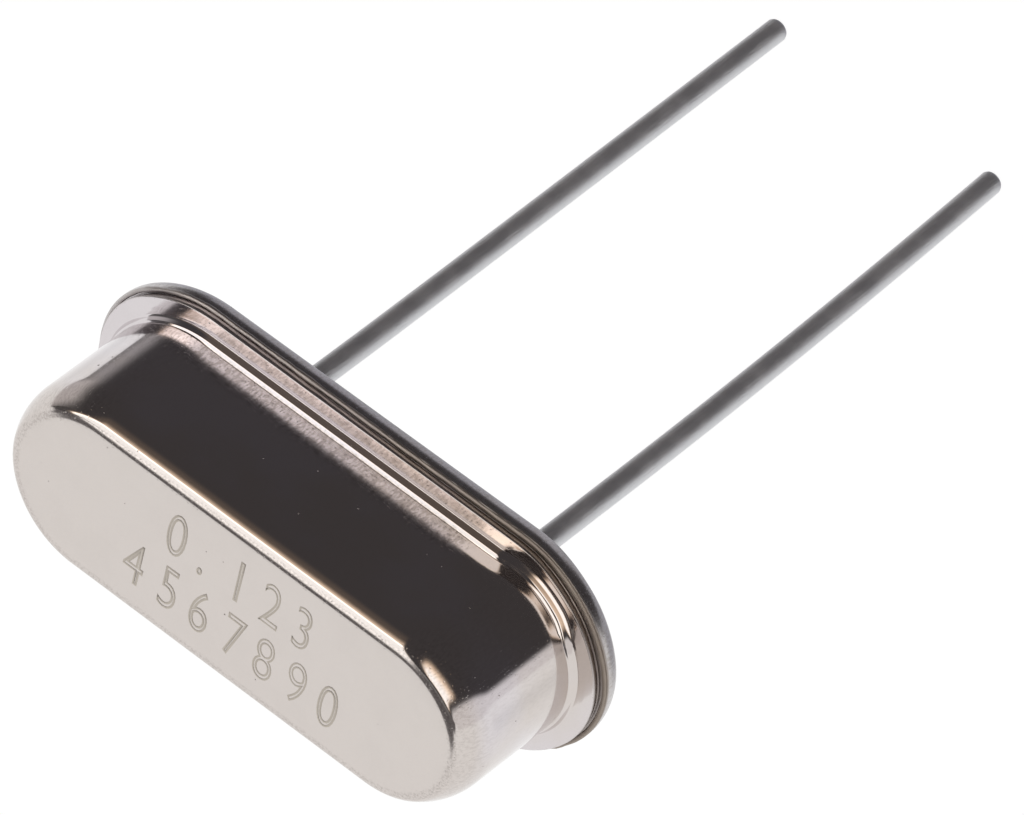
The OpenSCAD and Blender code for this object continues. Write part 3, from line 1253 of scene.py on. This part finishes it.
@dataclass
class Studio:
    """The world, the floor and the camera.

    Attributes:
        room: light of the dark room over the table.
        corner, left, left_high, right: its light low on the left, on the left and above it, and on the right.
        near: light of the table's near part.
        far, far_top: light beyond the table, and higher up there.
        boxes: the upright soft boxes over the table.
        slanted: the slanting ones.
        far_box: the one beyond the table.
        lens, sensor: the camera's lens and its sensor's width in millimetres.
        azimuth, elevation, roll: the camera's angles in degrees.
        distance: from the camera to its aim.
        aim: where it looks.
        clip: the nearest and the farthest that it sees.
        floor_r: the floor's radius.
        floor_gap: how far it lies below the leads' tips.
        floor_colour: its colour.
        glow: its brightness to the camera.
        glow_share: how much of its look that makes up.
    """

    room: Colour = (0.06, 0.055, 0.058, 1)
    corner: Colour = (0.14, 0.14, 0.145, 1)
    left: Colour = (0.53, 0.52, 0.54, 1)
    left_high: Colour = (0.86, 0.84, 0.85, 1)
    right: Colour = (0.095, 0.09, 0.09, 1)
    near: Colour = (0.47, 0.47, 0.51, 1)
    far: Colour = (0.14, 0.13, 0.135, 1)
    far_top: Colour = (0.32, 0.32, 0.32, 1)
    boxes: tuple[Panel, ...] = (
        Panel((-0.1, 0.44), (-1.3, -0.61), (0.1, 0.03), (0.47, 0.46, 0.5, 1)),
        Panel((0.62, 1.3), (-0.55, 0.05), (0.12, 0.12), (0.6, 0.57, 0.57, 1)),
        Panel((-0.53, -0.09), (0.18, 0.75), (0.04, 0.06), WARM_EDGE),
        Panel((-0.51, -0.11), (0.24, 0.73), (0.04, 0.06), LAMP),
    )
    slanted: tuple[Panel, ...] = (
        Panel((0.16, 0.66), (0.11, 1.3), (0.02, 0.04), (0.135, 0.108, 0.092, 1)),
        Panel((0.16, 0.66), (0.215, 1.3), (0.02, 0.05), WARM_EDGE),
        Panel((0.16, 0.64), (0.255, 1.3), (0.02, 0.05), (1.42, 1.41, 1.4, 1)),
        Panel((0.16, 0.64), (0.27, 0.36), (0.02, 0.04), (2.7, 2.5, 2.28, 1)),
    )
    far_box: Panel = Panel((0.19, 0.58), (0.59, 1.3), (0.03, 0.05), LAMP)
    lens: float = 457.03
    sensor: float = 36.0
    azimuth: float = 25.81
    elevation: float = 38.39
    roll: float = 127.14
    distance: float = 213.34 * MM
    aim: Triple = (-0.988 * MM, -1.610 * MM, -2.302 * MM)
    clip: Pair = (0.01, 10.0)
    floor_r: float = 0.3
    floor_gap: float = 0.02 * MM
    floor_colour: Colour = (0.85, 0.85, 0.85, 1)
    glow: float = 1.06
    glow_share: float = 0.9

    def camera(self) -> None:
        """Makes the camera."""
        data = bpy.data.cameras.new("camera")
        data.lens, data.sensor_width = self.lens, self.sensor
        data.clip_start, data.clip_end = self.clip
        made = put("camera", data)
        a, e, r = (math.radians(angle) for angle in (self.azimuth, self.elevation, self.roll))
        forward = Vector((math.sin(a) * math.cos(e), math.cos(a) * math.cos(e), -math.sin(e)))
        right = forward.cross(Vector((0, 0, 1))).normalized()
        top = right.cross(forward) * math.cos(r) + right * math.sin(r)
        side = forward.cross(top).normalized()
        turn = Matrix((side, top, -forward)).transposed().to_4x4()
        made.matrix_world = Matrix.Translation(Vector(self.aim) - forward * self.distance) @ turn
        bpy.context.scene.camera = made

    def over_table(self, w: Wiring, u: Socket, v: Socket, tilted: Socket) -> Socket:
        """Draws the dark room over the table, with its soft boxes.

        Args:
            w: the world's wiring.
            u: the place sideways.
            v: the place upwards.
            tilted: the place upwards, on a slant.

        Returns:
            The light.
        """
        low = w.times(w.ramp(u, -0.45, -0.6), w.ramp(v, -0.55, -0.63))
        light = w.blend(low, self.room, self.corner)
        light = w.blend(w.ramp(u, -0.76, -0.88), light, self.left)
        level = w.math("SUBTRACT", v, w.times(u, 0.68))
        high = w.times(w.ramp(u, -0.61, -0.69), w.ramp(level, -0.16, -0.12))
        light = w.blend(high, light, self.left_high)
        light = w.blend(w.ramp(u, 0.42, 0.7), light, self.right)
        for panels, upwards in ((self.boxes, v), (self.slanted, tilted)):
            for panel in panels:
                light = panel.over(w, u, upwards, light)
        return light

    def table(self, w: Wiring, u: Socket, v: Socket, tilted: Socket) -> Socket:
        """Draws the white table that the can's side faces, and what lies beyond it.

        Args:
            w: the world's wiring.
            u: the place sideways.
            v: the place upwards.
            tilted: the place upwards, on a slant.

        Returns:
            The light.
        """
        edge = w.plus(w.ramp(u, 0.2, -0.3, 0.388, 0.62), w.ramp(u, 0.22, 0.42, 0.0, 0.09))
        edge = w.math("SUBTRACT", edge, w.ramp(u, 0.7, 1.0, 0.0, 0.14))
        beyond = w.ramp(w.math("SUBTRACT", v, edge), 0.0, 0.025)
        far = w.blend(w.ramp(v, 0.75, 0.95), self.far, self.far_top)
        dim = w.times(w.ramp(v, -0.38, -0.62), w.ramp(w.math("ABSOLUTE", u), 0.45, 0.7, 1.0, 0.0))
        return w.blend(beyond, w.blend(dim, WHITE, self.near), self.far_box.over(w, u, tilted, far))

    def world(self) -> None:
        """Makes the soft studio light, which metal also mirrors."""
        world = bpy.data.worlds.new("studio")
        bpy.context.scene.world = world
        world.use_nodes = True
        w = Wiring(world.node_tree)
        x, y, z = w.axes(w.node("ShaderNodeTexCoord").outputs["Generated"])
        away = w.math("ABSOLUTE", y)
        flat = w.plus(away, 1.0)
        u, v = w.math("DIVIDE", x, flat), w.math("DIVIDE", z, flat)
        tilted = w.math("SUBTRACT", v, w.times(w.math("SUBTRACT", u, 0.2), 0.6))
        above, table = self.over_table(w, u, v, tilted), self.table(w, u, v, tilted)
        light = w.blend(w.ramp(y, -0.012, 0.012), above, table)
        gap = w.times(w.ramp(away, 0.015, 0.045, 1.0, 0.0), w.ramp(u, 0.34, 0.44), w.ramp(v, 0.3, 0.5))
        colour = w.blend(w.seen(), w.blend(gap, light, self.room), WHITE)
        w.output("ShaderNodeOutputWorld", w.node("ShaderNodeBackground", {"Color": colour}).outputs[0])

    def floor(self) -> None:
        """Makes the pale floor below the leads' tips, which can't be seen from below."""
        bm = bmesh.new()
        bmesh.ops.create_circle(bm, cap_ends=True, radius=self.floor_r, segments=96)
        bmesh.ops.translate(bm, verts=bm.verts, vec=(0, 0, CAD_BOX[0].z - self.floor_gap))
        mesh = bpy.data.meshes.new("floor")
        bm.to_mesh(mesh)
        bm.free()
        made = put("floor", mesh)
        material = bpy.data.materials.new("pale_floor")
        material.use_nodes = True
        w = Wiring(material.node_tree)
        look = w.node("ShaderNodeBsdfDiffuse", {"Color": self.floor_colour}).outputs[0]
        glow = w.node("ShaderNodeEmission", {"Strength": self.glow})
        behind = w.node("ShaderNodeNewGeometry").outputs["Backfacing"]
        clear = w.node("ShaderNodeBsdfTransparent")
        for share, other in ((w.times(w.seen(), self.glow_share), glow), (behind, clear)):
            look = w.node("ShaderNodeMixShader", {0: share, 1: look, 2: other.outputs[0]}).outputs[0]
        w.output("ShaderNodeOutputMaterial", look)
        mesh.materials.append(material)
        made.visible_glossy = False


NICKELS = (
    Nickel("cover_nickel", (0.655, 0.603, 0.57, 1), (0.69, 0.65, 0.66, 1), (0.26, 0.225, 0.205, 1),
           0.08, 0.19, 0.0006 * MM),
    Nickel("base_nickel", (0.60, 0.575, 0.56, 1), (0.60, 0.58, 0.59, 1), (0.33, 0.275, 0.225, 1),
           0.18, 0.3, 0.0009 * MM),
    Nickel("scribed_nickel", (0.53, 0.48, 0.42, 1), (0.5, 0.45, 0.4, 1), (0.34, 0.30, 0.25, 1),
           0.25, 0.4, 0.0012 * MM),
)
INSIDES = (
    Inside("clip_metal", (0.74, 0.68, 0.56, 1), (0.62, 0.56, 0.46, 1), {"Metallic": 1.0},
           (0.22, 0.34), 14.0, 0.002 * MM, (1000.0, 1000.0, 150.0)),
    Inside("quartz", (0.86, 0.9, 0.92, 1), (0.8, 0.85, 0.88, 1),
           {"Metallic": 0.0, "IOR": 1.544, "Transmission Weight": 0.6}, (0.32, 0.45), 30.0, 0.001 * MM),
    Inside("film_silver", (0.9, 0.89, 0.87, 1), (0.82, 0.8, 0.76, 1), {"Metallic": 1.0},
           (0.18, 0.3), 24.0, 0.0006 * MM),
    Inside("silver_epoxy", (0.62, 0.6, 0.56, 1), (0.48, 0.46, 0.43, 1), {"Metallic": 0.35},
           (0.45, 0.65), 18.0, 0.004 * MM),
)


def main() -> None:
    """Builds everything in order."""
    logging.basicConfig(level=logging.INFO, format="%(name)s %(message)s")
    bpy.context.scene.view_settings.view_transform = "Standard"
    studio = Studio()
    studio.camera()
    studio.world()
    studio.floor()
    effects = Effects()
    nickel, steel, scribed = (plate.make(effects) for plate in NICKELS)
    tin = Tin("lead_tin", (0.72, 0.725, 0.74, 1), (0.9, 0.9, 0.91, 1), 0.52).make(effects)
    glass = Glass("seal_glass", (0.02, 0.028, 0.03, 1), (0.09, 0.11, 0.115, 1)).make(effects)
    can = Can()
    can.cover(nickel)
    can.base(steel)
    can.weld(steel)
    Marking().scribe(can.can_h, scribed)
    for end in End:
        LEADS.wire(end, tin)
        LEADS.seal(end, glass)
    made = {inside.name: inside.make(effects) for inside in INSIDES}
    for row in frame["record"]["subparts"]:
        if row["material_slot"] in made:
            kept = bpy.data.objects[row["node"]]
            kept.data.materials.clear()
            kept.data.materials.append(made[row["material_slot"]])
            log.info("%s: new finish", row["node"])


if __name__ == "__main__":
    main()
